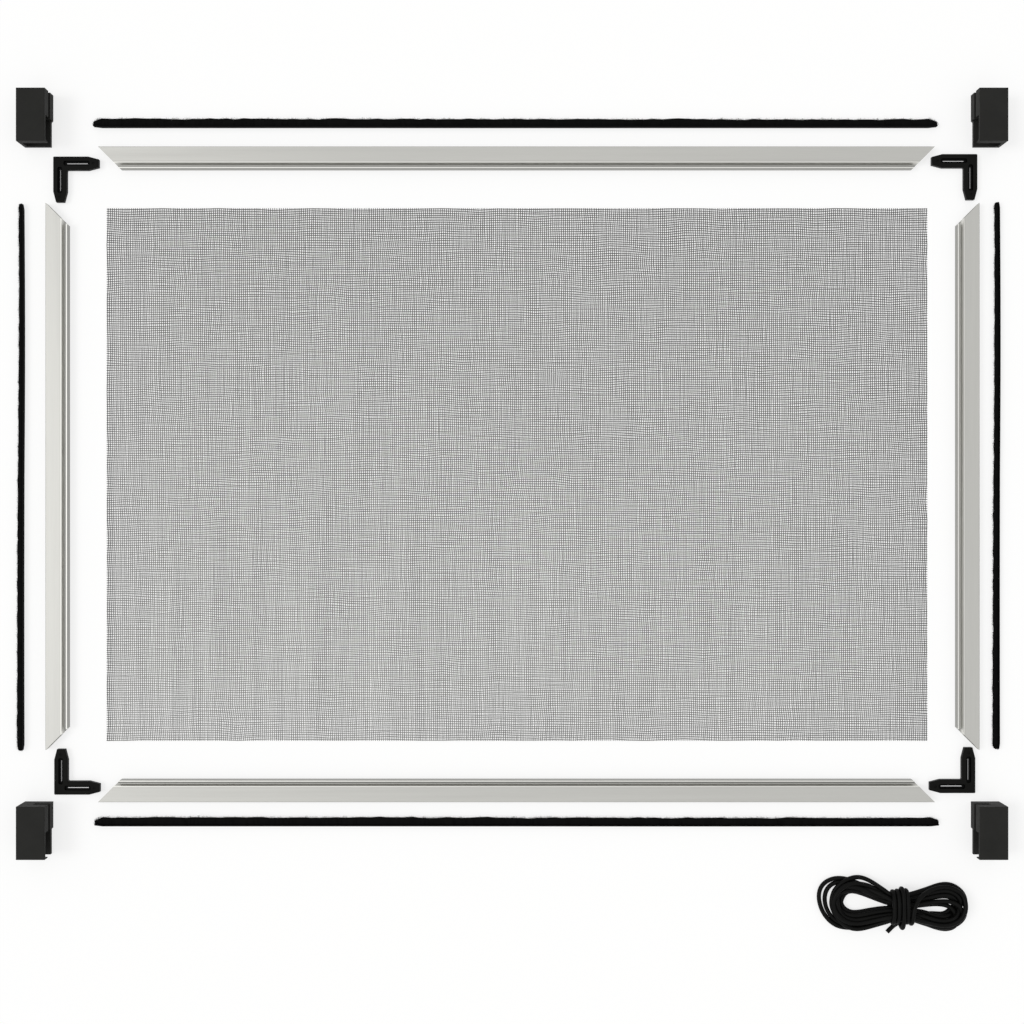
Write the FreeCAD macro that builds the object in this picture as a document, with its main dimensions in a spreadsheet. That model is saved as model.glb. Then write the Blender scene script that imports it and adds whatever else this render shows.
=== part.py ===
"""Insect screen frame for a window, as the kit of pieces that it is put together from.

Four mitred profiles, four corner connectors, four hanging brackets, four brush seals, the cut mesh
and the rubber cord that holds it lie on one flat surface, each where it belongs round the mesh.
X runs along the frame's length, Y up its height and Z up from the surface. Sizes are in millimetres.
The profiles' chambers, grooves and slots are sized for the pieces that go into them.
"""

import FreeCAD, Part
import math
import os

import Sketcher

SHEET = "Sizes"
SIZES = {
    # The outside of the frame once it is put together
    "frame_length": 795.0,
    "frame_height": 520.0,
    # The section of the profile
    "profile_width": 21.0,
    "profile_depth": 8.0,
    "outer_wall": 1.1,
    "back_wall": 1.1,
    "face_wall": 1.0,
    "chamber_width": 13.2,
    "groove_wall": 0.9,
    "groove_width": 4.5,
    "groove_depth": 4.4,
    "groove_barb": 0.3,
    "groove_corner": 1.4,
    "bead_width": 0.8,
    "bead_height": 0.3,
    "edge_chamfer": 0.4,
    "brush_slot_lip": 0.8,
    "brush_slot_mouth": 3.4,
    # The corner connector, whose legs go into the chambers
    "leg_length": 43.3,
    "leg_side_play": 0.15,
    "leg_face_play": 0.08,
    "tip_taper": 10.0,
    "tip_width": 7.6,
    "leg_chamfer": 0.6,
    "corner_radius": 1.0,
    "leg_recess_width": 4.6,
    "leg_recess_depth": 1.5,
    "leg_slit_width": 1.0,
    "leg_slit_start": 12.2,
    "leg_tip_wall": 10.6,
    "leg_dimple": 2.6,
    "leg_dimple_depth": 0.4,
    # The hanging bracket
    "bracket_width": 26.9,
    "bracket_height": 49.8,
    "bracket_depth": 25.5,
    "bracket_front_wall": 3.0,
    "bracket_back_wall": 4.0,
    "bracket_side_wall": 3.0,
    "channel_height": 25.0,
    "channel_step": 1.4,
    "slot_width": 5.2,
    "slot_reach": 14.0,
    "slot_behind": 9.5,
    "catch_height": 2.0,
    "catch_reach": 6.0,
    "bracket_chamfer": 0.5,
    # The brush seal, which lies on its side
    "ribbon_width": 4.8,
    "ribbon_thickness": 1.0,
    "ribbon_play": 0.15,
    "pile_foot": 3.0,
    "pile_head": 4.0,
    "pile_height_long": 7.5,
    "pile_height_short": 5.1,
    "pile_corner": 2.5,
    "tuft_height": 0.6,
    "tuft_width": 7.0,
    "tuft_pitch": 16.0,
    "seal_spare_long": 9.0,
    "seal_spare_short": 1.0,
    # The mesh sheet, where one bar with its ridges stands for many threads and one gap for theirs
    "mesh_overhang": 11.65,
    "mesh_web": 0.2,
    "thread_ridge": 0.15,
    "ridge_width": 1.2,
    "ridge_step": 5.0,
    "gap_width": 46.0,
    "gap_height": 44.4,
    "gap_columns": 12,
    "gap_rows": 8,
    # The hank of cord: how far its two lobes reach and rise from the tied waist, and their holes
    "left_reach": 79.0,
    "left_rise": 26.5,
    "left_lift": 7.0,
    "right_reach": 65.5,
    "right_rise": 23.3,
    "waist_rise": 13.3,
    "left_hole_start": 17.0,
    "left_hole_end": 56.0,
    "left_hole_rise": 8.7,
    "left_hole_lift": 3.0,
    "right_hole_start": 16.0,
    "right_hole_end": 48.0,
    "right_hole_rise": 3.8,
    "right_hole_drop": 2.8,
    "hank_height": 12.6,
    "hank_rounding": 3.0,
    "wrap_length": 23.0,
    "wrap_rise": 22.2,
    "wrap_height": 21.0,
    # Where the pieces lie: the mesh off the middle, then the gaps from one piece out to the next
    "mesh_shift": 8.3,
    "frame_shift": 7.72,
    "row_gap": 36.2,
    "left_gap": 35.2,
    "right_gap": 26.6,
    "side_drop": 2.0,
    "seal_gap_top": 19.3,
    "seal_gap_bottom": 23.6,
    "seal_gap_left": 22.3,
    "seal_gap_right": 20.4,
    "seal_slide_top": -1.05,
    "seal_slide_bottom": 0.3,
    "seal_slide_left": -0.6,
    "seal_slide_right": 0.85,
    "connector_in_top_left": 6.55,
    "connector_in_top_right": 1.25,
    "connector_in_bottom_left": 7.5,
    "connector_in_bottom_right": 3.2,
    "connector_down_top_left": 8.95,
    "connector_down_top_right": 6.6,
    "connector_down_bottom_left": 6.6,
    "connector_down_bottom_right": 8.1,
    "bracket_out_left": 21.8,
    "bracket_out_right": 21.0,
    "bracket_gap": 0.7,
    "hank_across": 75.0,
    "hank_down": 99.3,
}


class Size:
    """A length that knows its value and the formula over the sheet that gives it."""

    def __init__(self, value, formula):
        self.value = value
        self.formula = formula

    def __add__(self, other):
        return Size(self.value + amount(other), f"({self.formula} + {words(other)})")

    def __radd__(self, other):
        return self + other

    def __sub__(self, other):
        return Size(self.value - amount(other), f"({self.formula} - {words(other)})")

    def __rsub__(self, other):
        return -self + other

    def __mul__(self, other):
        return Size(self.value * amount(other), f"({self.formula} * {words(other)})")

    def __rmul__(self, other):
        return self * other

    def __truediv__(self, other):
        return Size(self.value / amount(other), f"({self.formula} / {words(other)})")

    def __neg__(self):
        return self * -1


def amount(size):
    return size.value if isinstance(size, Size) else size


def words(size):
    return size.formula if isinstance(size, Size) else repr(size)


def bind(thing, place, size):
    """Set one property of an object, through the sheet where the size comes from there."""
    if isinstance(size, Size):
        thing.setExpression(place, size.formula)
    else:
        setattr(thing, place, size)


def make_sheet():
    """Fill the spreadsheet and hand back each of its cells as a Size."""
    sheet = doc.addObject("Spreadsheet::Sheet", SHEET)
    cells = {}
    for row, (name, value) in enumerate(SIZES.items(), start=1):
        sheet.set(f"A{row}", name)
        sheet.set(f"B{row}", str(value))
        sheet.setAlias(f"B{row}", name)
        cells[name] = Size(value, f"{SHEET}.{name}")
    doc.recompute()
    return cells


doc = FreeCAD.newDocument("window_screen_frame")
S = make_sheet()

# The section of the profile, from its inner edge outwards and from its back up

FACE = S["profile_depth"] - S["bead_height"]
CHAMBER_END = S["profile_width"] - S["outer_wall"]
CHAMBER_START = CHAMBER_END - S["chamber_width"]
GROOVE_END = CHAMBER_START - S["groove_wall"]
GROOVE_START = GROOVE_END - S["groove_width"]
CHAMBER_HEIGHT = FACE - S["face_wall"] - S["back_wall"]
LEG_WIDTH = S["chamber_width"] - S["leg_side_play"] * 2
LEG_THICKNESS = CHAMBER_HEIGHT - S["leg_face_play"] * 2

# The mesh reaches past the middle of the groove on every side

GROOVE_INSET = S["profile_width"] - (GROOVE_START + GROOVE_END) / 2
MESH_LENGTH = S["frame_length"] - GROOVE_INSET * 2 + S["mesh_overhang"] * 2
MESH_HEIGHT = S["frame_height"] - GROOVE_INSET * 2 + S["mesh_overhang"] * 2

# The outer edges of the four profiles where they lie, and what lies outside them

ROW_EDGE = MESH_HEIGHT / 2 + S["row_gap"] + S["profile_width"]
LEFT_EDGE = S["mesh_shift"] - MESH_LENGTH / 2 - S["left_gap"] - S["profile_width"]
RIGHT_EDGE = S["mesh_shift"] + MESH_LENGTH / 2 + S["right_gap"] + S["profile_width"]


# Drawing helpers


def start_body(name):
    body = doc.addObject("PartDesign::Body", name)
    body.Label = name
    return body


def plane_sketch(body, role, loops, name, height=0):
    """A sketch on one origin plane, moved off it by a height, with closed loops of bound corners."""
    sketch = body.newObject("Sketcher::SketchObject", f"{body.Label}_{name}")
    plane = next(f for f in body.Origin.OriginFeatures if f.Role == role)
    sketch.AttachmentSupport = [(plane, "")]
    sketch.MapMode = "FlatFace"
    if isinstance(height, Size):
        bind(sketch, "AttachmentOffset.Base.z", height)
    for corners in loops:
        draw_loop(sketch, corners)
    return sketch


def draw_loop(sketch, corners):
    """Draw straight lines through the corners, each of which is held at its distances by the sheet."""
    first = sketch.GeometryCount
    points = [FreeCAD.Vector(amount(x), amount(y), 0) for x, y in corners]
    for here, there in zip(points, points[1:] + points[:1]):
        sketch.addGeometry(Part.LineSegment(here, there), False)
    for step in range(len(corners)):
        after = first + (step + 1) % len(corners)
        sketch.addConstraint(Sketcher.Constraint("Coincident", first + step, 2, after, 1))
    for step, corner in enumerate(corners):
        for kind, size in zip(("DistanceX", "DistanceY"), corner):
            distance = Sketcher.Constraint(kind, -1, 1, first + step, 1, float(amount(size)))
            number = sketch.addConstraint(distance)
            if isinstance(size, Size):
                sketch.setExpression(f"Constraints[{number}]", size.formula)


def rectangle(left, low, right, high):
    return [(left, low), (right, low), (right, high), (left, high)]


def eased(left, low, right, high, cut):
    """A rectangle whose corners are cut off."""
    return [
        (left + cut, low),
        (right - cut, low),
        (right, low + cut),
        (right, high - cut),
        (right - cut, high),
        (left + cut, high),
        (left, high - cut),
        (left, low + cut),
    ]


def add_pad(body, sketch, length, reverse=False, symmetric=False):
    pad = body.newObject("PartDesign::Pad", f"{sketch.Label}_pad")
    pad.Profile = sketch
    pad.Reversed = reverse
    pad.SideType = "Symmetric" if symmetric else "One side"
    bind(pad, "Length", length)
    return pad


def add_pocket(body, sketch, depth=None, reverse=False):
    """A pocket to a depth, or without one a cut through everything on both sides of the sketch."""
    pocket = body.newObject("PartDesign::Pocket", f"{sketch.Label}_pocket")
    pocket.Profile = sketch
    pocket.Reversed = reverse
    if depth is None:
        pocket.SideType = "Symmetric"
        pocket.Type = "ThroughAll"
    else:
        bind(pocket, "Length", depth)
    return pocket


def add_edging(body, kind, feature, names, size):
    """Chamfer or fillet the named edges or faces of a feature."""
    edging = body.newObject(f"PartDesign::{kind}", f"{feature.Label}_{kind.lower()}")
    edging.Base = (feature, names)
    bind(edging, "Radius" if kind == "Fillet" else "Size", size)
    return edging


def add_pattern(body, feature, role, spacing, copies):
    pattern = body.newObject("PartDesign::LinearPattern", f"{feature.Label}_row")
    pattern.Originals = [feature]
    pattern.Direction = (next(f for f in body.Origin.OriginFeatures if f.Role == role), [""])
    pattern.Mode = "Spacing"
    bind(pattern, "Offset", spacing)
    bind(pattern, "Occurrences", copies)
    body.Tip = pattern
    return pattern


def upright_edges(shape, places):
    """The names of the straight upright edges that stand at the given places."""
    found = []
    for number, edge in enumerate(shape.Edges, start=1):
        ends = [v.Point for v in edge.Vertexes]
        upright = len(ends) == 2 and math.hypot(ends[0].x - ends[1].x, ends[0].y - ends[1].y) < 1e-6
        if upright and any(math.hypot(ends[0].x - x, ends[0].y - y) < 1e-3 for x, y in places):
            found.append(f"Edge{number}")
    return found


def level_faces(shape, heights):
    """The names of the flat faces that lie level at the given heights."""
    return [
        f"Face{number}"
        for number, face in enumerate(shape.Faces, start=1)
        if face.BoundBox.ZLength < 1e-6 and any(abs(face.BoundBox.ZMin - z) < 1e-3 for z in heights)
    ]


def put(body, across, up, turn=0.0):
    """Lay a finished body at its place on the surface, turned about the upright axis."""
    body.Placement.Rotation = FreeCAD.Rotation(FreeCAD.Vector(0, 0, 1), turn)
    for place, size in (("Placement.Base.x", across), ("Placement.Base.y", up)):
        if isinstance(size, Size):
            bind(body, place, size)


# Frame profiles


def make_profile(name, length, across, up, turn):
    """An extrusion along X with its inner edge at Y 0, mitred so that its outer edge is longest."""
    body = start_body(name)
    depth, width = S["profile_depth"], S["profile_width"]
    barb, cut = S["groove_barb"], S["edge_chamfer"]
    floor, corner = depth - S["groove_depth"], S["groove_corner"]
    middle = CHAMBER_START / 2
    slot = (S["ribbon_width"] + S["ribbon_play"] * 2) / 2
    mouth = S["brush_slot_mouth"] / 2
    lip = S["brush_slot_lip"]
    roof = lip + S["ribbon_thickness"] + S["ribbon_play"] * 2
    section = [
        (0, 0),
        (middle - mouth, 0),
        (middle - mouth, lip),
        (middle - slot, lip),
        (middle - slot, roof),
        (middle + slot, roof),
        (middle + slot, lip),
        (middle + mouth, lip),
        (middle + mouth, 0),
        (width, 0),
        (width, FACE - cut),
        (width - cut, FACE),
        (GROOVE_END + S["bead_width"] + S["bead_height"], FACE),
        (GROOVE_END + S["bead_width"], depth),
        (GROOVE_END - barb, depth),
        (GROOVE_END - barb, depth - barb * 2),
        (GROOVE_END, depth - barb * 4),
        (GROOVE_END, floor + corner),
        (GROOVE_END - corner, floor),
        (GROOVE_START + corner, floor),
        (GROOVE_START, floor + corner),
        (GROOVE_START, depth - barb * 4),
        (GROOVE_START + barb, depth - barb * 2),
        (GROOVE_START + barb, depth),
        (cut, depth),
        (0, depth - cut),
    ]
    chamber = rectangle(CHAMBER_START, S["back_wall"], CHAMBER_END, FACE - S["face_wall"])
    add_pad(body, plane_sketch(body, "YZ_Plane", [section, chamber], "section"), length, symmetric=True)
    beyond = 1.0
    end = length / 2
    mitre = [
        (end + beyond, width + beyond),
        (end - width - beyond, -beyond),
        (end + beyond, -beyond),
    ]
    other = [(-x, y) for x, y in mitre]
    add_pocket(body, plane_sketch(body, "XY_Plane", [mitre, other], "mitre"))
    put(body, across, up, turn)
    return body


def make_profiles():
    inner_row = ROW_EDGE - S["profile_width"]
    inner_left = LEFT_EDGE + S["profile_width"]
    inner_right = RIGHT_EDGE - S["profile_width"]
    across, up = S["frame_shift"], -S["side_drop"]
    return [
        make_profile("profile_top", S["frame_length"], across, inner_row, 0),
        make_profile("profile_bottom", S["frame_length"], across, -inner_row, 180),
        make_profile("profile_left", S["frame_height"], inner_left, up, 90),
        make_profile("profile_right", S["frame_height"], inner_right, up, 270),
    ]


# Corner connectors


def make_connector(name, across, up, turn):
    """An L with its outer corner at the origin and its legs along X and Y, slit so that they can spring."""
    body = start_body(name)
    wide, far, taper = LEG_WIDTH, S["leg_length"], S["tip_taper"]
    near_side = (wide - S["tip_width"]) / 2
    far_side = (wide + S["tip_width"]) / 2
    along_x = [(far - taper, 0), (far, near_side), (far, far_side), (far - taper, wide)]
    along_y = [(y, x) for x, y in reversed(along_x)]
    outline = [(0, 0), *along_x, (wide, wide), *along_y]
    block = add_pad(body, plane_sketch(body, "XY_Plane", [outline], "outline"), LEG_THICKNESS)
    doc.recompute()
    corners = upright_edges(block.Shape, [(0, 0), (wide.value, wide.value)])
    rounded = add_edging(body, "Fillet", block, corners, S["corner_radius"])
    doc.recompute()
    faces = level_faces(rounded.Shape, [0, LEG_THICKNESS.value])
    add_edging(body, "Chamfer", rounded, faces, S["leg_chamfer"])

    start, end = S["leg_slit_start"], far - S["leg_tip_wall"]
    past = S["leg_recess_width"] / 2
    recess = leg_pair(start - past, end + past, S["leg_recess_width"], S["leg_recess_width"] / 4)
    slit = leg_pair(start, end, S["leg_slit_width"], S["leg_slit_width"] / 4)
    upper = plane_sketch(body, "XY_Plane", recess, "upper_recess", LEG_THICKNESS)
    add_pocket(body, upper, S["leg_recess_depth"])
    under = plane_sketch(body, "XY_Plane", recess, "under_recess")
    add_pocket(body, under, S["leg_recess_depth"], reverse=True)
    add_pocket(body, plane_sketch(body, "XY_Plane", slit, "slit"))
    tip = far - taper / 2 - S["leg_dimple"] / 2
    dimples = leg_pair(tip, tip + S["leg_dimple"], S["leg_dimple"], S["leg_dimple"] * 0.3)
    tips = plane_sketch(body, "XY_Plane", dimples, "dimples", LEG_THICKNESS)
    add_pocket(body, tips, S["leg_dimple_depth"])
    put(body, across, up, turn)
    return body


def leg_pair(start, end, width, cut):
    """The same eased rectangle down the middle of each of a connector's two legs."""
    low, high = LEG_WIDTH / 2 - width / 2, LEG_WIDTH / 2 + width / 2
    along_x = eased(start, low, end, high, cut)
    return [along_x, [(y, x) for x, y in along_x]]


def make_connectors():
    places = {
        "bottom_left": (LEFT_EDGE, 1, -ROW_EDGE, 1, 0),
        "bottom_right": (RIGHT_EDGE, -1, -ROW_EDGE, 1, 90),
        "top_right": (RIGHT_EDGE, -1, ROW_EDGE, -1, 180),
        "top_left": (LEFT_EDGE, 1, ROW_EDGE, -1, 270),
    }
    made = []
    for corner, (side, inward, row, back, turn) in places.items():
        across = side + S[f"connector_in_{corner}"] * inward
        up = row + S[f"connector_down_{corner}"] * back
        made.append(make_connector(f"corner_connector_{corner}", across, up, turn))
    return made


# Hanging brackets


def make_bracket(name, across, up, hand):
    """A block open to its inner side, which is +X for hand 1 and -X for hand -1, with its foot at Y 0.

    The channel below takes the frame's edge, and the narrow slot runs on through the half above it.
    """
    body = start_body(name)
    width, height, depth = S["bracket_width"], S["bracket_height"], S["bracket_depth"]
    beyond = 1.0

    def handed(corners):
        return [(x * hand, y) for x, y in corners]

    plan = handed(rectangle(0, 0, width, height))
    block = add_pad(body, plane_sketch(body, "XY_Plane", [plan], "block"), depth)
    doc.recompute()
    add_edging(body, "Chamfer", block, level_faces(block.Shape, [depth.value]), S["bracket_chamfer"])

    back, front = S["bracket_back_wall"], depth - S["bracket_front_wall"]
    channel = handed(rectangle(S["bracket_side_wall"], back, width + beyond, front))
    add_pocket(body, plane_sketch(body, "XZ_Plane", [channel], "channel"), S["channel_height"])

    slot_top = S["slot_behind"] + S["slot_width"]
    slot = handed(rectangle(width - S["slot_reach"], S["slot_behind"], width + beyond, slot_top))
    add_pocket(body, plane_sketch(body, "XZ_Plane", [slot], "slot"))

    step, foot = S["channel_step"], S["channel_height"]
    set_back = handed(
        [
            (width - step, -beyond),
            (width + beyond, -beyond),
            (width + beyond, foot + beyond),
            (width - step, foot - step),
        ]
    )
    add_pocket(body, plane_sketch(body, "XY_Plane", [set_back], "step"), back, reverse=True)

    catch = [
        (0, front),
        (0, front - S["catch_reach"]),
        (S["catch_height"] / 2, front - S["catch_reach"]),
        (S["catch_height"], front),
    ]
    rib = plane_sketch(body, "YZ_Plane", [catch], "catch")
    add_pad(body, rib, width, reverse=hand < 0)
    put(body, across, up)
    return body


def make_brackets():
    left = LEFT_EDGE - S["bracket_out_left"]
    right = RIGHT_EDGE + S["bracket_out_right"]
    upper = ROW_EDGE + S["bracket_gap"]
    lower = -upper - S["bracket_height"]
    return [
        make_bracket("hanging_bracket_top_left", left, upper, 1),
        make_bracket("hanging_bracket_top_right", right, upper, -1),
        make_bracket("hanging_bracket_bottom_left", left, lower, 1),
        make_bracket("hanging_bracket_bottom_right", right, lower, -1),
    ]


# Brush seals


def make_ribbon(name, length, across, up, turn):
    """The woven ribbon, on its edge, along X with its back at Y 0."""
    body = start_body(name)
    section = eased(0, 0, S["ribbon_thickness"], S["ribbon_width"], S["ribbon_thickness"] / 4)
    add_pad(body, plane_sketch(body, "YZ_Plane", [section], "section"), length, symmetric=True)
    put(body, across, up, turn)
    return body


def make_pile(name, length, height, across, up, turn):
    """The pile that stands on the ribbon and spreads towards its head, with a row of longer tufts."""
    body = start_body(name)
    foot, head = S["ribbon_thickness"], S["ribbon_thickness"] + height
    middle = S["ribbon_width"] / 2
    section = [
        (foot, middle - S["pile_foot"] / 2),
        (head, middle - S["pile_head"] / 2),
        (head, middle + S["pile_head"] / 2),
        (foot, middle + S["pile_foot"] / 2),
    ]
    block = add_pad(body, plane_sketch(body, "YZ_Plane", [section], "section"), length, symmetric=True)
    doc.recompute()
    ends = [(side * length.value / 2, head.value) for side in (-1, 1)]
    add_edging(body, "Chamfer", block, upright_edges(block.Shape, ends), S["pile_corner"])

    first = S["tuft_pitch"] - length / 2
    half = S["tuft_width"] / 2
    slope = S["tuft_height"] * 2
    tuft = [
        (first - half, head),
        (first + half, head),
        (first + half - slope, head + S["tuft_height"]),
        (first - half + slope, head + S["tuft_height"]),
    ]
    low = middle - S["pile_head"] / 2
    raised = add_pad(body, plane_sketch(body, "XY_Plane", [tuft], "tuft", low), S["pile_head"])
    room = length / S["tuft_pitch"] - 1
    copies = Size(math.floor(room.value), f"floor({room.formula})")
    add_pattern(body, raised, "X_Axis", S["tuft_pitch"], copies)
    put(body, across, up, turn)
    return body


def make_seals():
    """Each seal lies on its side, its pile towards +Y along the length and towards -X up the sides."""
    long_side = S["frame_length"] + S["seal_spare_long"]
    short_side = S["frame_height"] + S["seal_spare_short"]
    tall, short = S["pile_height_long"], S["pile_height_short"]
    middle, drop = S["frame_shift"], -S["side_drop"]
    slide = {side: S[f"seal_slide_{side}"] for side in ("top", "bottom", "left", "right")}
    places = {
        "top": (long_side, tall, middle + slide["top"], ROW_EDGE + S["seal_gap_top"], 0),
        "bottom": (long_side, tall, middle + slide["bottom"], -ROW_EDGE - S["seal_gap_bottom"], 0),
        "left": (short_side, short, LEFT_EDGE - S["seal_gap_left"], slide["left"] + drop, 90),
        "right": (short_side, short, RIGHT_EDGE + S["seal_gap_right"], slide["right"] + drop, 90),
    }
    made = []
    for side, (length, height, across, up, turn) in places.items():
        made.append(make_ribbon(f"brush_backing_{side}", length, across, up, turn))
        made.append(make_pile(f"brush_pile_{side}", length, height, across, up, turn))
    return made


# Mesh


def make_mesh():
    """The cut sheet: bars round a grid of gaps, with threads along X over its web and along Y under it."""
    body = start_body("insect_mesh")
    ridge, web = S["thread_ridge"], S["mesh_web"]
    end, top = MESH_LENGTH / 2, MESH_HEIGHT / 2
    sheet = plane_sketch(body, "XY_Plane", [rectangle(-end, -top, end, top)], "sheet", ridge)
    add_pad(body, sheet, web)

    across, up = MESH_LENGTH / S["gap_columns"], MESH_HEIGHT / S["gap_rows"]
    along = [rectangle(-end, y - half, end, y + half) for y, half in ridge_places(up - top)]
    weft = add_pad(body, plane_sketch(body, "XY_Plane", along, "weft", ridge + web), ridge)
    add_pattern(body, weft, "Y_Axis", up, S["gap_rows"] - 1)
    upward = [rectangle(x - half, -top, x + half, top) for x, half in ridge_places(across - end)]
    warp = add_pad(body, plane_sketch(body, "XY_Plane", upward, "warp"), ridge)
    add_pattern(body, warp, "X_Axis", across, S["gap_columns"] - 1)

    wide, high = S["gap_width"] / 2, S["gap_height"] / 2
    first_x, first_y = across / 2 - end, up / 2 - top
    square = rectangle(first_x - wide, first_y - high, first_x + wide, first_y + high)
    gap = add_pocket(body, plane_sketch(body, "XY_Plane", [square], "gap"))
    add_grid(body, gap, across, up)
    put(body, S["mesh_shift"], 0)
    return body


def ridge_places(middle):
    """Where three threads side by side lie about the middle of a bar, and half their width."""
    return [(middle + S["ridge_step"] * step, S["ridge_width"] / 2) for step in (-1, 0, 1)]


def add_grid(body, feature, across, up):
    """Repeat one feature in columns along X and rows along Y."""
    grid = body.newObject("PartDesign::MultiTransform", f"{feature.Label}_grid")
    grid.Originals = [feature]
    steps = []
    for role, spacing, copies in (
        ("X_Axis", across, S["gap_columns"]),
        ("Y_Axis", up, S["gap_rows"]),
    ):
        step = doc.addObject("PartDesign::LinearPattern", f"{feature.Label}_{role[0].lower()}_step")
        body.addObject(step)
        step.Direction = (next(f for f in body.Origin.OriginFeatures if f.Role == role), [""])
        step.Mode = "Spacing"
        bind(step, "Offset", spacing)
        bind(step, "Occurrences", copies)
        steps.append(step)
    grid.Transformations = steps
    body.Tip = grid
    return grid


# Hank of cord


def make_hank():
    """The outer shape of the hank: two flat lobes with a hole in each, and the turns round their waist."""
    size = {name: cell.value for name, cell in S.items()}
    height, rounding = size["hank_height"], size["hank_rounding"]
    levels = [(0, rounding), (rounding, 0), (height - rounding, 0), (height, rounding)]
    lobes = Part.makeLoft([lobe_outline(size, z, inset) for z, inset in levels], True, True)
    for hand, side, lift in (
        (-1, "left", size["left_hole_lift"]),
        (1, "right", -size["right_hole_drop"]),
    ):
        start, end = size[f"{side}_hole_start"], size[f"{side}_hole_end"]
        reach, rise = (end - start) / 2, size[f"{side}_hole_rise"]
        corners = ring(24, lambda x, y: (hand * (start + end) / 2 + reach * x, lift + rise * y, 0))
        lobes = lobes.cut(extruded(corners, FreeCAD.Vector(0, 0, height)))
    stand, side = size["wrap_height"] / 2, size["wrap_rise"] - size["wrap_height"] / 2
    start = -size["wrap_length"] / 2
    oval = ring(24, lambda x, y: (start, stand * x + math.copysign(side, x), stand + stand * y))
    band = extruded(oval, FreeCAD.Vector(size["wrap_length"], 0, 0))
    feature = doc.addObject("Part::Feature", "spline_hank")
    feature.Label = "spline_hank"
    feature.Shape = lobes.fuse(band)
    put(feature, RIGHT_EDGE - S["hank_across"], -ROW_EDGE - S["hank_down"])
    return feature


def ring(count, place):
    """A closed run of straight lines through the places of evenly turned directions."""
    turns = [2 * math.pi * (step + 0.5) / count for step in range(count)]
    corners = [FreeCAD.Vector(*place(math.cos(turn), math.sin(turn))) for turn in turns]
    return Part.makePolygon([*corners, corners[0]])


def lobe_outline(size, z, inset):
    """The line round both lobes, which swings in at the waist, at one height of the hank."""

    def place(across, up):
        side = "left" if across < 0 else "right"
        waist = size["waist_rise"] - inset
        swell = 2 * ((size[f"{side}_rise"] - inset) / math.sqrt(0.5) - waist)
        lift = size["left_lift"] * abs(across) if across < 0 else 0.0
        height = up * (waist + swell * across**2) + lift
        return (size[f"{side}_reach"] - inset) * across, height, z

    return ring(44, place)


def extruded(outline, way):
    return Part.Face(outline).extrude(way)


# Build, check and write


def check(pieces):
    for thing in doc.Objects:
        if "Invalid" in thing.State or "Error" in thing.State:
            raise RuntimeError(f"{thing.Label} wasn't made: {thing.State}")
    for piece in pieces:
        if piece.Shape.isNull() or not piece.Shape.isValid() or len(piece.Shape.Solids) != 1:
            raise RuntimeError(f"{piece.Label} isn't one valid solid")


pieces = [*make_profiles(), *make_connectors(), *make_brackets(), *make_seals(), make_mesh(), make_hank()]
doc.recompute()
check(pieces)
os.makedirs("parts", exist_ok=True)
for piece in pieces:
    piece.Shape.exportStep(f"parts/{piece.Label}.step")
    box = piece.Shape.BoundBox
    print(
        f"{piece.Label:32s} {piece.Shape.Volume / 1000:8.2f} cm3"
        f"  x {box.XMin:8.2f} {box.XMax:8.2f}  y {box.YMin:8.2f} {box.YMax:8.2f}"
        f"  z {box.ZMin:6.2f} {box.ZMax:6.2f}"
    )
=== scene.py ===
"""The looks of a window screen kit that lies flat: four profiles, four corner connectors, four hanging
brackets, four brush seals, the cut mesh and the hank of spline cord.

Lengths are in metres, in the frame of the CAD model; values marked mm are turned into metres by MM.
"""

import math

import bpy
import numpy as np
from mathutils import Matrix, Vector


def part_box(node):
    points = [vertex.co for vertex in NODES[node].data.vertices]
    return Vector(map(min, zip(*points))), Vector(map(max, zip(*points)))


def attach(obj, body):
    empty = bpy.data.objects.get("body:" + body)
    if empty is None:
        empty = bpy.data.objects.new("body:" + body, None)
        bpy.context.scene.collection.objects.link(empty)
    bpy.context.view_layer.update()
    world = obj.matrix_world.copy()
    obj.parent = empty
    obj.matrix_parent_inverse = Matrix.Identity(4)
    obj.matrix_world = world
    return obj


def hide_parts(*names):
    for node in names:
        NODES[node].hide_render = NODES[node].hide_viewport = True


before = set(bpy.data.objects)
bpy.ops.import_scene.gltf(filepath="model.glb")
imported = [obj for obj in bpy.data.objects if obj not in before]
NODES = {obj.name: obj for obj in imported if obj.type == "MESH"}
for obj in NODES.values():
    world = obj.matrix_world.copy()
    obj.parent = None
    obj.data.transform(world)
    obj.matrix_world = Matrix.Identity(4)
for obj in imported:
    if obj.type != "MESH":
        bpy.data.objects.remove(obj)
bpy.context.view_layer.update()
MM = 0.001
SIDES = ("top", "bottom", "left", "right")

# The camera hangs straight above the middle of the photograph, whose pixels are 0.955 mm wide
LOOK_AT = (3.52 * MM, -35.8 * MM)
CAMERA_HEIGHT = 1.327
PIXELS, PIXEL = 1024, 0.955
PICTURE_WIDTH = PIXELS * PIXEL * MM
SENSOR = 36.0
NEAREST_SEEN = 0.01
# The light from all round, the white that shows behind the object, and the wide, low lamp at the left
ALL_ROUND, ALL_ROUND_STRENGTH = (1, 1, 0.99, 1), 0.82
WHITE, WHITE_STRENGTH = (1, 1, 1, 1), 1.0
LAMP_AT, LAMP_STRENGTH = (-1.5, 0, 1.3), 0.95
LAMP_LEAN, LAMP_SPREAD = -42, 25
# The floor lies just under the pieces; its glow is the share of plain white in what is seen of it
FLOOR_SIZE, FLOOR_HEIGHT = 12, -0.3 * MM
FLOOR_PAINT, FLOOR_GLOW = (0.95, 0.95, 0.945, 1), 0.7


# Nodes


def add_node(tree, kind, inputs=None, **settings):
    node = tree.nodes.new(kind)
    for name, value in settings.items():
        setattr(node, name, value)
    for name, value in (inputs or {}).items():
        node.inputs[name].default_value = value
    return node


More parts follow.
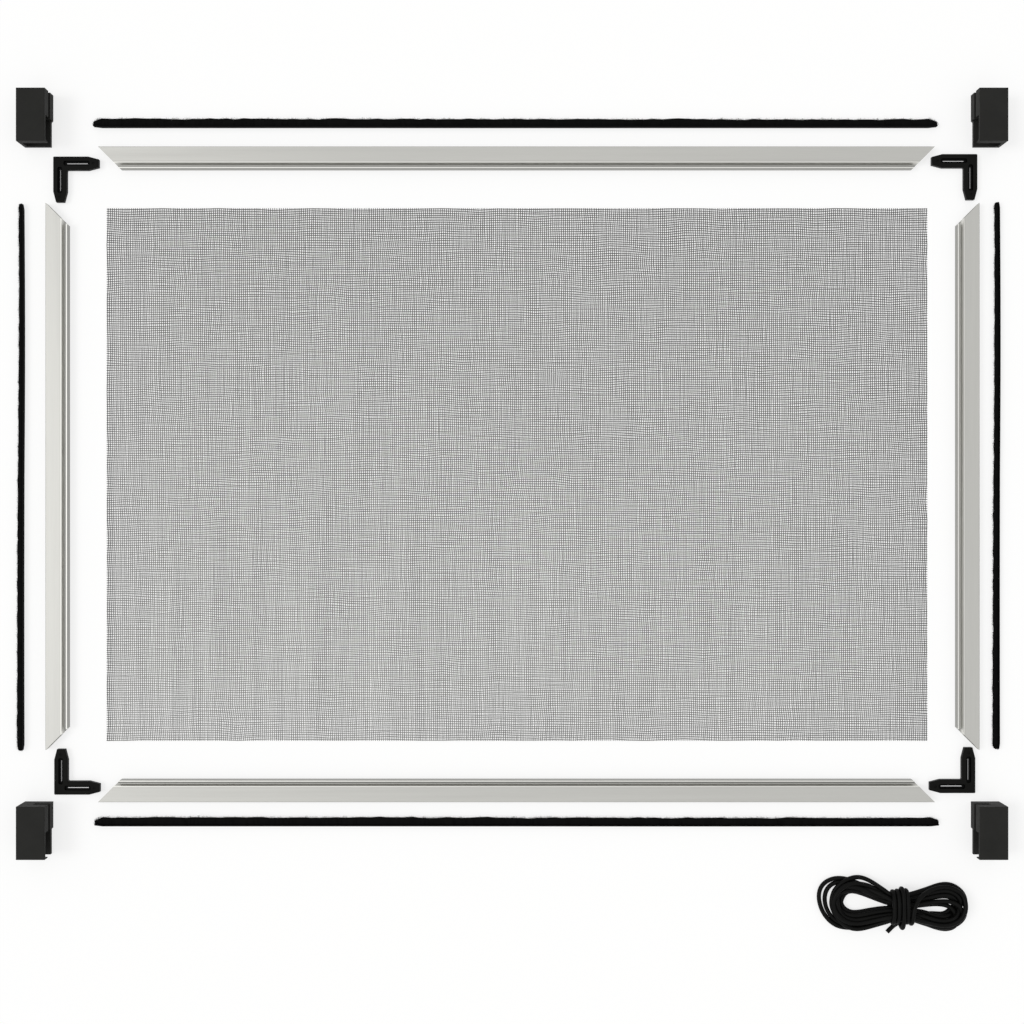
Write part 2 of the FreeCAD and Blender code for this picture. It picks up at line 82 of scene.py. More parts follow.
def seen_directly(tree):
    """One where the camera sees the surface itself, in a mirror or through glass, and zero elsewhere."""
    path = add_node(tree, "ShaderNodeLightPath")
    seen = path.outputs["Is Camera Ray"]
    for ray in ("Is Transmission Ray", "Is Glossy Ray"):
        either = add_node(tree, "ShaderNodeMath", operation="MAXIMUM")
        tree.links.new(seen, either.inputs[0])
        tree.links.new(path.outputs[ray], either.inputs[1])
        seen = either.outputs[0]
    return seen


def mix_shaders(tree, share, first, second, out):
    mix = add_node(tree, "ShaderNodeMixShader")
    tree.links.new(share, mix.inputs[0])
    tree.links.new(first.outputs[0], mix.inputs[1])
    tree.links.new(second.outputs[0], mix.inputs[2])
    tree.links.new(mix.outputs[0], out.inputs[0])


def surface_place(tree):
    """The place on the object, as a whole and as its X, Y and Z."""
    place = add_node(tree, "ShaderNodeTexCoord").outputs["Object"]
    parts = add_node(tree, "ShaderNodeSeparateXYZ")
    tree.links.new(place, parts.inputs["Vector"])
    return place, parts.outputs


def ramp(tree, value, from_low, from_high, to_low=0.0, to_high=1.0):
    """Read one range of numbers as another, held at both ends."""
    node = add_node(tree, "ShaderNodeMapRange", {"From Min": from_low, "From Max": from_high,
                                                 "To Min": to_low, "To Max": to_high})
    tree.links.new(value, node.inputs["Value"])
    return node.outputs["Result"]


def scale_tone(tree, tone, amount):
    """Make a colour lighter or darker by an amount that changes over the surface."""
    tinted = add_node(tree, "ShaderNodeVectorMath", operation="SCALE")
    tree.links.new(tone, tinted.inputs[0])
    tree.links.new(amount, tinted.inputs["Scale"])
    return tinted.outputs["Vector"]


def color_of(paint):
    """A material's nodes, the colour socket of its shader, and what feeds that socket."""
    tree = paint.node_tree
    socket = tree.nodes["Principled BSDF"].inputs["Base Color"]
    return tree, socket, socket.links[0].from_socket


# Camera, light and floor


def set_camera():
    bpy.ops.object.camera_add(location=(*LOOK_AT, CAMERA_HEIGHT), rotation=(0, 0, 0))
    camera = bpy.context.object
    camera.data.sensor_width = SENSOR
    camera.data.lens = SENSOR * CAMERA_HEIGHT / PICTURE_WIDTH
    camera.data.clip_start = NEAREST_SEEN
    bpy.context.scene.camera = camera


def set_light():
    """Even light from all round with a soft, low one from the left."""
    bpy.context.scene.view_settings.view_transform = "Standard"
    world = bpy.data.worlds.new("studio")
    bpy.context.scene.world = world
    world.use_nodes = True
    tree = world.node_tree
    tree.nodes.clear()
    out = add_node(tree, "ShaderNodeOutputWorld")
    even = add_node(tree, "ShaderNodeBackground", {"Color": ALL_ROUND, "Strength": ALL_ROUND_STRENGTH})
    white = add_node(tree, "ShaderNodeBackground", {"Color": WHITE, "Strength": WHITE_STRENGTH})
    mix_shaders(tree, seen_directly(tree), even, white, out)

    bpy.ops.object.light_add(type="SUN", location=LAMP_AT, rotation=(0, math.radians(LAMP_LEAN), 0))
    lamp = bpy.context.object
    lamp.data.energy = LAMP_STRENGTH
    lamp.data.angle = math.radians(LAMP_SPREAD)


def set_floor():
    """A white surface that still takes the soft shadows of what lies on it."""
    bpy.ops.mesh.primitive_plane_add(size=FLOOR_SIZE, location=(0, 0, FLOOR_HEIGHT))
    floor = bpy.context.object
    floor.name = "floor"
    paint = bpy.data.materials.new("floor_white")
    paint.use_nodes = True
    tree = paint.node_tree
    tree.nodes.clear()
    out = add_node(tree, "ShaderNodeOutputMaterial")
    matt = add_node(tree, "ShaderNodeBsdfDiffuse", {"Color": FLOOR_PAINT})
    glow = add_node(tree, "ShaderNodeEmission", {"Color": WHITE})
    share = add_node(tree, "ShaderNodeMath", {1: FLOOR_GLOW}, operation="MULTIPLY")
    tree.links.new(seen_directly(tree), share.inputs[0])
    mix_shaders(tree, share.outputs[0], matt, glow, out)
    floor.data.materials.append(paint)


# Materials

# Where nearly all the values of a noise lie
NOISE_LOW, NOISE_HIGH = 0.3, 0.7


def make_grain_group():
    """A colour that varies with a fine and a broad noise, and the height and the patches they make."""
    group = bpy.data.node_groups.new("grain", "ShaderNodeTree")
    face = group.interface
    face.new_socket("Vector", in_out="INPUT", socket_type="NodeSocketVector")
    for name in ("Fine", "Broad", "Dark", "Light"):
        face.new_socket(name, in_out="INPUT", socket_type="NodeSocketFloat")
    face.new_socket("Color", in_out="INPUT", socket_type="NodeSocketColor")
    face.new_socket("Color", in_out="OUTPUT", socket_type="NodeSocketColor")
    face.new_socket("Height", in_out="OUTPUT", socket_type="NodeSocketFloat")
    face.new_socket("Patches", in_out="OUTPUT", socket_type="NodeSocketFloat")
    enter = add_node(group, "NodeGroupInput")
    leave = add_node(group, "NodeGroupOutput")
    fine = add_node(group, "ShaderNodeTexNoise", {"Detail": 3.0})
    broad = add_node(group, "ShaderNodeTexNoise", {"Detail": 2.0})
    mean = add_node(group, "ShaderNodeMix", {"Factor": 0.5})
    tone = add_node(group, "ShaderNodeMapRange", {"From Min": NOISE_LOW, "From Max": NOISE_HIGH})
    link = group.links.new
    link(enter.outputs["Vector"], fine.inputs["Vector"])
    link(enter.outputs["Vector"], broad.inputs["Vector"])
    link(enter.outputs["Fine"], fine.inputs["Scale"])
    link(enter.outputs["Broad"], broad.inputs["Scale"])
    link(fine.outputs["Fac"], mean.inputs["A"])
    link(broad.outputs["Fac"], mean.inputs["B"])
    link(mean.outputs["Result"], tone.inputs["Value"])
    link(enter.outputs["Dark"], tone.inputs["To Min"])
    link(enter.outputs["Light"], tone.inputs["To Max"])
    link(scale_tone(group, enter.outputs["Color"], tone.outputs["Result"]), leave.inputs["Color"])
    link(fine.outputs["Fac"], leave.inputs["Height"])
    link(broad.outputs["Fac"], leave.inputs["Patches"])
    return group


def make_material(name, color, rough, metal=0.0, gloss=0.5, stretch=(1, 1, 1), fine=900.0,
                  broad=40.0, contrast=0.15, bump=0.1, depth=0.1 * MM, rough_swing=0.06):
    """A surface with grain: fine and broad are how many of its grains and patches go to a metre."""
    paint = bpy.data.materials.new(name)
    paint.use_nodes = True
    tree = paint.node_tree
    shader = tree.nodes["Principled BSDF"]
    shader.inputs["Metallic"].default_value = metal
    shader.inputs["Specular IOR Level"].default_value = gloss
    place = add_node(tree, "ShaderNodeTexCoord")
    drawn = add_node(tree, "ShaderNodeMapping", {"Scale": stretch})
    grain = add_node(tree, "ShaderNodeGroup", node_tree=GRAIN)
    values = {"Fine": fine, "Broad": broad, "Dark": 1 - contrast, "Light": 1 + contrast,
              "Color": (*color, 1)}
    for socket, value in values.items():
        grain.inputs[socket].default_value = value
    sheen = ramp(tree, grain.outputs["Patches"], NOISE_LOW, NOISE_HIGH,
                 rough - rough_swing, rough + rough_swing)
    raised = add_node(tree, "ShaderNodeBump", {"Strength": bump, "Distance": depth})
    link = tree.links.new
    link(place.outputs["Object"], drawn.inputs["Vector"])
    link(drawn.outputs["Vector"], grain.inputs["Vector"])
    link(grain.outputs["Color"], shader.inputs["Base Color"])
    link(sheen, shader.inputs["Roughness"])
    link(grain.outputs["Height"], raised.inputs["Height"])
    link(raised.outputs["Normal"], shader.inputs["Normal"])
    return paint


# Satin aluminium with painted highlights along the groove's lip and bead, and painted shade in the
# groove's corner: the distance from a profile's inner edge in mm, and how light it is there
ALUMINIUM = (0.495, 0.492, 0.467)
HIGHLIGHT_AND_SHADE_BANDS = [
    (0, 0.68), (0.25, 0.68), (0.4, 1.4), (1.3, 1.4), (1.7, 0.4), (3.2, 0.42), (4.0, 0.9),
    (5.3, 1.0), (5.6, 1.4), (6.05, 1.4), (6.2, 1.2), (6.9, 1.17), (7.2, 0.92), (8.0, 1.0),
]
LIGHTEST = 2.0
# How far the grain is drawn out along a profile
DRAWN = 0.015


def make_aluminium(side):
    low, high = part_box(f"profile_{side}")
    upright = side in ("left", "right")
    inner, outer = {"top": (low.y, high.y), "bottom": (high.y, low.y),
                    "left": (high.x, low.x), "right": (low.x, high.x)}[side]
    paint = make_material(f"satin_aluminium_{side}", [value * LIGHTEST for value in ALUMINIUM],
                          rough=0.42, metal=1.0, stretch=(1, DRAWN, 1) if upright else (DRAWN, 1, 1),
                          fine=2200, broad=300, contrast=0.04, bump=0.05, depth=0.05 * MM,
                          rough_swing=0.04)
    tree, color, tone = color_of(paint)
    parts = surface_place(tree)[1]
    # Painted highlights along the groove's lip and bead and painted shade in its corner, as bands across
    # the profile
    bands = add_node(tree, "ShaderNodeValToRGB")
    width = abs(outer - inner) / MM
    stops = bands.color_ramp.elements
    for number, (distance, lightness) in enumerate(HIGHLIGHT_AND_SHADE_BANDS):
        stop = stops[number] if number < 2 else stops.new(distance / width)
        stop.position = distance / width
        stop.color = (*[lightness / LIGHTEST] * 3, 1)
    tree.links.new(ramp(tree, parts["X" if upright else "Y"], inner, outer), bands.inputs["Fac"])
    tree.links.new(scale_tone(tree, tone, bands.outputs["Color"]), color)
    return paint


def paint_node(name, paint):
    """Give a CAD node its material in each of its slots."""
    mesh = NODES[name].data
    if not mesh.materials:
        mesh.materials.append(paint)
    for slot in range(len(mesh.materials)):
        mesh.materials[slot] = paint


# Modelling helpers


def alone(piece):
    bpy.ops.object.select_all(action="DESELECT")
    piece.select_set(True)
    bpy.context.view_layer.objects.active = piece


def join(first, *others):
    alone(first)
    for piece in others:
        piece.select_set(True)
    bpy.ops.object.join()
    return bpy.context.object


def points_of(piece):
    flat = np.zeros(len(piece.data.vertices) * 3)
    piece.data.vertices.foreach_get("co", flat)
    return flat.reshape(-1, 3)


def move_points(piece, points):
    piece.data.vertices.foreach_set("co", points.ravel())
    piece.data.update()


def apply_modifier(piece, kind, **settings):
    alone(piece)
    modifier = piece.modifiers.new(kind.lower(), kind)
    for name, value in settings.items():
        setattr(modifier, name, value)
    bpy.ops.object.modifier_apply(modifier=modifier.name)


def repeat(piece, count, offset):
    apply_modifier(piece, "ARRAY", count=count, use_relative_offset=False, use_constant_offset=True,
                   constant_offset_displace=offset)


def cut_lengthwise(piece, axis, cuts):
    """Divide the long edges of a bar, which run along one axis, into equal lengths."""
    points = points_of(piece)
    long = np.ptp(points[:, axis]) / 2
    alone(piece)
    bpy.ops.object.mode_set(mode="EDIT")
    bpy.ops.mesh.select_mode(type="EDGE")
    bpy.ops.mesh.select_all(action="DESELECT")
    bpy.ops.object.mode_set(mode="OBJECT")
    for edge in piece.data.edges:
        a, b = edge.vertices
        edge.select = bool(abs(points[a, axis] - points[b, axis]) > long)
    bpy.ops.object.mode_set(mode="EDIT")
    bpy.ops.mesh.subdivide(number_cuts=cuts)
    bpy.ops.object.mode_set(mode="OBJECT")


def finish_piece(piece, name, node, paint):
    piece.name = piece.data.name = name
    piece.data.materials.clear()
    piece.data.materials.append(paint)
    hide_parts(node)
    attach(piece, "root")


# Spline cord, all in mm from the middle of the hank's waist

CORD = 4.2
HANK_AT = (372.6, -410.7)
# Each turn of the hank: where the left lobe is highest, furthest out and lowest, and the right one
TURNS = [
    ((-46, 15.2), (-59.6, 3.8), (-47, -8.8), (46, 9.8), (56.0, 0.0), (45, -9.2)),
    ((-47, 17.2), (-60.6, 4.0), (-48, -10.4), (44, 12.0), (57.5, 0.6), (44, -11.2)),
    ((-48, 19.2), (-61.6, 4.0), (-48, -12.2), (44, 14.2), (59.0, 1.0), (44, -13.4)),
    ((-60, 26.6), (-77.2, 11.0), (-50, -22.5), (40, 2.2), (56.5, -9.0), (45, -21.4)),
    ((-48, 21.2), (-62.6, 4.5), (-46, -14.4), (44, 16.2), (60.5, 1.5), (44, -15.6)),
    ((-56, 24.4), (-71.8, 7.5), (-46, -20.7), (48, 6.4), (60.4, -6.5), (43, -23.7)),
    ((-43, 23.8), (-63.6, 6.0), (-42, -17.6), (42, 18.2), (62.0, 2.0), (42, -18.4)),
    ((-38, 29.2), (-64.6, 7.5), (-42, -23.4), (45, 21.0), (63.8, 3.5), (42, -22.2)),
]
# How much each turn bulges on its way up from the waist to the top of the left lobe
BULGE = [0.3, 0.2, 0.3, 0.5, 0.4, 0.5, 0.55, 0.95]
# How high each turn passes the left and the right edge of the waist, in its upper and its lower half
WAIST = 9.0
UPPER = [
    (1.6, 3.0), (3.6, 5.0), (5.4, 7.0), (11.4, -0.6), (7.0, 8.8), (8.6, 1.2), (10.0, 10.5), (12.4, 11.6),
]
LOWER = [
    (-1.0, -3.6), (-2.8, -4.6), (-4.4, -5.6), (-10.6, -8.6), (-6.1, -6.6), (-9.1, -10.4), (-7.6, -7.6),
    (-11.8, -9.6),
]
# The half turn that goes on to the waist, and how it climbs on top
LAST = ((WAIST, -9.0), (41, -18.6), (62.4, 3.0), (41, 19.6), (WAIST, 13.0))
CLIMB = [(32, 18.0, 9), (22, 15.0, 12), (14.6, 11.0, 16.0), (9.8, 4.4, 19)]
# The turns round the waist: where each crosses the front, how far it stands out above and below,
# and the radius on which it goes over each edge of the waist
WRAPS = [
    (8.6, 16.8, -17.2), (4.3, 19.0, -15.6), (0.2, 20.8, -21.8), (-4.2, 18.6, -15.6), (-8.6, 16.8, -17.0),
]
STAND = 8.4
# The end of the cord that shows, from its tip to the first lobe
TAIL = [(-11.2, -25.2, 2.1), (-8.6, -21.8, 2.1), (-5.8, -18.4, 3.4), (-1.5, -14.6, 6), (6, -11.4, 7),
        (17, -9.4, 5)]
# How much higher each turn starts than the one before
LAYER = 1.4
# The thirds of a run round the waist, and the degrees between points on its edges
THIRD, TWO_THIRDS = 0.33, 0.67
EDGE_STEP = 30
# How the turns settle: stretches this many thicknesses apart are watched, those nearer than this many
# along the cord belong together, and touching ones part by this share of their overlap
WATCHED, OWN_STRETCH, PART = 1.7, 1.6, 0.35
# What each round moves: how far a loose turn sinks and in which share of the rounds, how strongly
# loose and tied turns keep to their route, and how much of a stretch, curl or tight bend is eased
SINK, SINKING = 0.12, 0.7
KEEP_LOOSE, KEEP_TIED = 0.06, 0.12
EASE_STRETCH, EASE_CURL, EASE_BEND = 0.25, 0.08, 0.9
# The lobes open out by this share, from this far off the waist, over this distance
OPEN_OUT, OPEN_FROM, OPEN_OVER = 0.015, 10, 20
# How strongly and how often the route's corners are smoothed, and after how many rounds the stretches
# that may touch are looked up again
SMOOTH, SMOOTHINGS, LOOK_AGAIN = 0.25, 3, 10
# The straight steps that a span of the cord and a quarter of its section are drawn in
CORD_STEPS = 4


def quarter(start, centre, end, count=3):
    """Points along a quarter of an ellipse, both ends left out."""
    turns = [math.pi / 2 * step / count for step in range(1, count)]
    return [
        tuple(c + (b - c) * math.sin(t) + (a - c) * math.cos(t) for a, b, c in zip(start, end, centre))
        for t in turns
    ]


def slope(start, end, bulge=0.3, count=4):
    """Points of a step that eases in and out by the bulge, both ends left out."""
    places = []
    for step in range(1, count):
        u = step / count
        v = (1 - bulge) * u + bulge * u * u * (3 - 2 * u)
        places.append((start[0] + (end[0] - start[0]) * u, start[1] + (end[1] - start[1]) * v))
    return places


def lobe(start, first, far, second, end, bulge=0.3):
    """From the waist along one side of a lobe, round its end and back along the other side."""
    out = [start, *slope(start, first, bulge), first, *quarter(first, (first[0], far[1]), far), far]
    return [*out, *quarter(far, (second[0], far[1]), second), second, *slope(second, end), end]


def lobe_turns():
    route = []
    for number, (left_high, left_far, left_low, right_high, right_far, right_low) in enumerate(TURNS):
        (upper_left, upper_right), (lower_left, lower_right) = UPPER[number], LOWER[number]
        right = lobe((WAIST, lower_right), right_low, right_far, right_high, (WAIST, upper_right))
        left = lobe((-WAIST, upper_left), left_high, left_far, left_low, (-WAIST, lower_left),
                    BULGE[number])
        height = CORD / 2 + number * LAYER
        route += [(x, y, height) for x, y in (right if number else right[2:]) + left]
    height = CORD / 2 + len(TURNS) * LAYER
    return route + [(x, y, height) for x, y in lobe(*LAST)[:-3]]


def waist_turns():
    """Down the front of the waist, round below it and up its back, once for each turn."""
    route = []
    middle = CORD / 2 + STAND
    for number, (x, high, low) in enumerate(WRAPS):
        next_x, next_high = WRAPS[min(number + 1, len(WRAPS) - 1)][:2]
        above, below = high - STAND, low + STAND
        if number:
            for degrees in range(180 - EDGE_STEP, -EDGE_STEP, -EDGE_STEP):
                t = math.radians(degrees)
                route.append((x, above + STAND * math.sin(t), middle + STAND * math.cos(t)))
            route.append((x, above * TWO_THIRDS + below * THIRD, middle + STAND))
        route.append((x, above * THIRD + below * TWO_THIRDS, middle + STAND))
        for degrees in range(0, 180, EDGE_STEP):
            t = math.radians(degrees)
            route.append((x, below - STAND * math.sin(t), middle + STAND * math.cos(t)))
        for u in (0.0, THIRD, TWO_THIRDS, 1.0)[:3 if number == len(WRAPS) - 1 else 4]:
            route.append((x + (next_x - x) * u, below * (1 - u) + (next_high - STAND) * u, CORD / 2))
    return route


def push_apart(p, pairs):
    """Move the points of touching stretches away from each other, to a cord's thickness."""
    i, j = pairs
    apart = p[i] - p[j]
    gap = np.linalg.norm(apart, axis=1) + 1e-9
    push = np.maximum(CORD - gap, 0)[:, None] * apart / gap[:, None] * PART
    moved = np.zeros_like(p)
    np.add.at(moved, i, push)
    np.add.at(moved, j, -push)
    return moved


def near_pairs(p, skip):
    """The pairs of points that are near each other and more than a few steps apart along the cord."""
    gap = np.linalg.norm(p[:, None] - p[None], axis=2)
    i, j = np.nonzero(gap < CORD * WATCHED)
    other = j - i > skip
    return i[other], j[other]


def settle(step=5.0, rounds=300, least_bend=11.0):
    """Let the turns sink and push each other aside until they lie on each other and on the floor."""
    loose = TAIL + lobe_turns()
    line = np.array(loose + CLIMB + waist_turns())
    along = np.concatenate([[0], np.cumsum(np.linalg.norm(np.diff(line, axis=0), axis=1))])
    places = np.linspace(0, along[-1], int(round(along[-1] / step)) + 1)
    p = np.stack([np.interp(places, along, line[:, axis]) for axis in range(3)], 1)
    tied = places > along[len(loose) + 1]
    for _ in range(SMOOTHINGS):
        p[1:-1] += SMOOTH * (p[:-2] + p[2:] - 2 * p[1:-1])
    p[:, :2] *= 1 + OPEN_OUT * np.clip((np.abs(p[:, :1]) - OPEN_FROM) / OPEN_OVER, 0, 1)
    home = p.copy()
    lengths = np.linalg.norm(np.diff(p, axis=0), axis=1)
    skip = math.ceil(CORD * OWN_STRETCH / step)
    keep = np.where(tied, KEEP_TIED, KEEP_LOOSE)[:, None]
    for turn in range(rounds):
        if turn < rounds * SINKING:
            p[~tied, 2] -= SINK
        if turn % LOOK_AGAIN == 0:
            at_points, at_middles = near_pairs(p, skip), near_pairs((p[:-1] + p[1:]) / 2, skip)
        p += push_apart(p, at_points)
        moved = push_apart((p[:-1] + p[1:]) / 2, at_middles)
        p[:-1] += moved / 2
        p[1:] += moved / 2
        for _ in range(2):
            run = p[1:] - p[:-1]
            size = np.linalg.norm(run, axis=1)
            give = ((size - lengths) / size)[:, None] * run * EASE_STRETCH
            p[:-1] += give
            p[1:] -= give
        curl = (p[:-2] + p[2:]) / 2 - p[1:-1]
        size = np.linalg.norm(curl, axis=1, keepdims=True) + 1e-9
        too_tight = np.maximum(size - step * step / (2 * least_bend), 0)
        p[1:-1] += EASE_CURL * curl + curl / size * too_tight * EASE_BEND
        p[:, :2] += keep * (home[:, :2] - p[:, :2])
        p[tied, 2] += KEEP_TIED * (home[tied, 2] - p[tied, 2])
        p[:, 2] = np.maximum(p[:, 2], CORD / 2)
    return p


def make_cord(rubber):
    points = (settle() + np.array([*HANK_AT, 0])) * MM
    curve = bpy.data.curves.new("spline_cord", "CURVE")
    curve.dimensions = "3D"
    line = curve.splines.new("NURBS")
    line.points.add(len(points) - 1)
    for point, place in zip(line.points, points):
        point.co = (*place, 1)
    line.order_u = 3
    line.use_endpoint_u = True
    line.resolution_u = CORD_STEPS
    curve.resolution_u = CORD_STEPS
    curve.bevel_depth = CORD / 2 * MM
    curve.bevel_resolution = CORD_STEPS
    curve.use_fill_caps = True
    cord = bpy.data.objects.new("spline_cord", curve)
    bpy.context.scene.collection.objects.link(cord)
    finish_piece(cord, "spline_cord", "spline_hank", rubber)


# Mesh

THREADS_UP = 398
THREADS_ACROSS = 238
THREAD_WIDE, THREAD_TALL = 0.68, 0.50
# How high the upright and the level threads lie, and how far apart the points along a thread are
UP_HEIGHT, ACROSS_HEIGHT = 0.27, 0.33
STATION = 18.0
# How far a thread leaves its line by itself and together with others, and how high the sheet ripples
OWN_SWAY, SHARED_SWAY, RIPPLE = 0.13, 0.45, 0.12
MESH_SEED = 7


def make_threads(length, start, step, count, axis, height):
    """One thread along an axis, cut into short lengths and repeated over the sheet."""
    bpy.ops.object.select_all(action="DESELECT")
    bpy.ops.mesh.primitive_cylinder_add(vertices=4, radius=1, depth=length, end_fill_type="NGON")
    thread = bpy.context.object
    thread.rotation_euler = (0, math.pi / 2, 0) if axis == 0 else (math.pi / 2, 0, 0)
    bpy.ops.object.transform_apply(location=False, rotation=True, scale=False)
    wide, tall = THREAD_WIDE / 2 * MM, THREAD_TALL / 2 * MM
    thread.scale = (1, wide, tall) if axis == 0 else (wide, 1, tall)
    bpy.ops.object.transform_apply(location=False, rotation=False, scale=True)
    cut_lengthwise(thread, axis, int(length / (STATION * MM)))
    repeat(thread, count, (0, step, 0) if axis == 0 else (step, 0, 0))
    move_points(thread, points_of(thread) + np.array([*start, height]))
    return thread


def make_field(rng, waves=14, shortest=24, longest=80):
    """A smooth random field over the sheet: waves of several lengths and directions, added up."""
    lengths = rng.uniform(shortest, longest, waves)
    turns = rng.uniform(0, 2 * math.pi, (2, waves))

    def field(x, y):
        along = np.outer(x, np.cos(turns[0])) + np.outer(y, np.sin(turns[0]))
        return np.sin(2 * math.pi * along / lengths + turns[1]).sum(1) / math.sqrt(waves / 2)

    return field


def sway_threads(threads, axis, count, rng):
    """Draw the threads slightly out of line, together with their neighbours and each by itself."""
    points = points_of(threads)
    number = np.arange(len(points)) // (len(points) // count)
    x, y = points[:, 0] / MM, points[:, 1] / MM
    station = np.round((points[:, axis] - points[:, axis].min()) / (STATION * MM)).astype(int)
    own = rng.normal(0, OWN_SWAY, (count, station.max() + 1))[number, station]
    points[:, 1 - axis] += (SHARED_SWAY * make_field(rng)(x, y) + own) * MM
    points[:, 2] += RIPPLE * MM * (1 + np.sin(x / 67 + 1.3) * np.sin(y / 49 + 0.4))
    move_points(threads, points)


def make_mesh(glass):
    low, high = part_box("insect_mesh")
    middle = (low + high) / 2
    length, height = high.x - low.x, high.y - low.y
    step_x, step_y = length / THREADS_UP, height / THREADS_ACROSS
    up = make_threads(height, (low.x + step_x / 2, middle.y), step_x, THREADS_UP, 1, UP_HEIGHT * MM)
    across = make_threads(length, (middle.x, low.y + step_y / 2), step_y, THREADS_ACROSS, 0,
                          ACROSS_HEIGHT * MM)
    rng = np.random.default_rng(MESH_SEED)
    sway_threads(up, 1, THREADS_UP, rng)
    sway_threads(across, 0, THREADS_ACROSS, rng)
    net = join(up, across)
    bpy.ops.object.shade_smooth()
    finish_piece(net, "mesh_threads", "insect_mesh", glass)


def streak_and_shade_mesh(paint):
    """Streaks along the upright threads, painted shade that deepens to the top and the right, and a tone
    that deepens to the sides.
    """
    low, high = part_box("insect_mesh")
    tree, color, tone = color_of(paint)
    place, parts = surface_place(tree)
    drawn = add_node(tree, "ShaderNodeMapping", {"Scale": (1, 0.04, 1)})
    streaks = add_node(tree, "ShaderNodeTexNoise", {"Scale": 90.0, "Detail": 2.0})
    tree.links.new(place, drawn.inputs["Vector"])
    tree.links.new(drawn.outputs["Vector"], streaks.inputs["Vector"])
    # The side edges are darker, fading out over this width
    edge = 9 * MM
    # What the tone follows, from where to where, and how light it is at each
    ramps = [
        (streaks.outputs["Fac"], NOISE_LOW, NOISE_HIGH, 0.72, 1.28),
        # Painted shade: the tone darkens towards the top and the right
        (parts["Y"], low.y, high.y, 1.45, 0.38),
        (parts["X"], low.x, high.x, 1.35, 0.65),
        (parts["X"], low.x + edge / 5, low.x + edge, 0.35, 1.0),
        (parts["X"], high.x - edge / 5, high.x - edge, 0.5, 1.0),
    ]
    for follows in ramps:
        tone = scale_tone(tree, tone, ramp(tree, *follows))
    tree.links.new(tone, color)


def shade_recess(paint, floor, face, dark):
    """Darken a plastic from its face down to the floor of its recess, where no light reaches."""
    tree, color, tone = color_of(paint)
    parts = surface_place(tree)[1]
    tree.links.new(scale_tone(tree, tone, ramp(tree, parts["Z"], floor, face, dark, 1.0)), color)


# Brush seals, all in mm, made along X with the ribbon's back at Y 0 and laid where the CAD has them

RIBBON_WIDTH, RIBBON_THICK = 4.8, 1.0
# The ribs' pitch, and how much they swell the ribbon's thickness and its width
RIB, RIB_THICK, RIB_WIDE = 2.0, 0.03, 0.008
RIBBON_CORNER, RIBBON_LIFT = 0.22, 0.02
# How far each seal bows off its line, in its right or upper half and in its left or lower half
BOW = {"top": (0, 0), "bottom": (-0.15, 0), "left": (-0.6, -0.15), "right": (-0.6, -0.15)}
# How much longer the pile is halfway along, and how much more towards the seal's left or lower end
SWELL = {"top": (0.2, 0.33), "bottom": (0.25, 0.33), "left": (0.15, 0.85), "right": (0.1, 0.85)}
# How much the tufts of the pile differ in height, and how many columns of fibres make a tuft
FRAY = {"top": 0.35, "bottom": 0.3, "left": 0.1, "right": 0.1}
TUFT = 4
PILE_ROWS, PILE_PITCH = 8, 0.5
# A fibre's radius, and how far its foot strays along the seal and, as a share, between the rows
FIBRE_RADIUS, STRAY_ALONG, STRAY_ACROSS = 0.17, 0.3, 0.15
# How far above the ribbon the feet are, how far the rows' feet spread to either side and the tips
# spread further, how far a tip strays to a side, and how near the floor it may come
FOOT_ABOVE, FOOT_SPREAD, TIP_SPREAD, TIP_STRAY, LOWEST_TIP = 0.1, 1.4, 0.7, 0.25, 0.15
# How far fibres stand over the pile's height, rise with its lumps and differ by themselves, and how
# much lower the outer rows are
FIBRE_LONGER, FIBRE_LUMPS, FIBRE_UNEVEN, OUTER_LOWER = 0.1, 0.45, 0.25, 0.25
# How far fibres lean by themselves, in waves of this length with others, and outwards at the ends
LEAN, LEAN_WAVE, LEAN_WAVE_LENGTH, LEAN_END = 0.55, 0.5, 9.0, 1.6
# At each end the pile is worn round over this share of its height
WORN = 0.6
# The pile's heart: its width and corners, the step between its cuts, how deep it starts in the ribbon
# and how far its head stays under the fibres' tips
CORE_WIDE, CORE_CORNER, CORE_STEP, CORE_DEEP, CORE_BELOW = 3.4, 0.8, 1.5, 0.15, 0.8
# The seed of the first seal's fibres, and how much higher the seed of a seal's heart is
SEAL_SEED, CORE_SEED = 20, 40
# How far the longer tufts of the CAD pile stand above the rest
CAD_TUFT = 0.6


def seal_sizes(side):
    """The length and pile height of a seal, and where its back's middle lies, all in mm."""
    low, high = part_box(f"brush_backing_{side}")
    pile_low, pile_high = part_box(f"brush_pile_{side}")
    middle = (low + high) / 2
    if side in ("top", "bottom"):
        length, height = high.x - low.x, pile_high.y - pile_low.y
        place = (middle.x, low.y)
    else:
        length, height = high.y - low.y, pile_high.x - pile_low.x
        place = (high.x, middle.y)
    return length / MM, height / MM - CAD_TUFT, (place[0] / MM, place[1] / MM)


def bow(side, x, length):
    """How far off its straight line the seal lies along its length."""
    return np.where(x > 0, *BOW[side]) * np.sin(2 * math.pi * (0.5 - x / length))


def pile_height(side, x, length, height):
    longer, more = SWELL[side]
    return height + longer - more * x / (length / 2)


def end_rise(x, length, reach=2.4, rise=1.6):
    """How far the worn ends of a seal curl towards its pile."""
    past = np.clip((np.abs(x) - (length / 2 - reach)) / reach, 0, 1)
    return rise * (1 - np.sqrt(1 - 0.96 * past**2))


def lay_down(piece, side, place):
    alone(piece)
    piece.rotation_euler = (0, 0, 0 if side in ("top", "bottom") else math.pi / 2)
    piece.location = (place[0] * MM, place[1] * MM, 0)
    bpy.ops.object.transform_apply(location=True, rotation=True, scale=True)


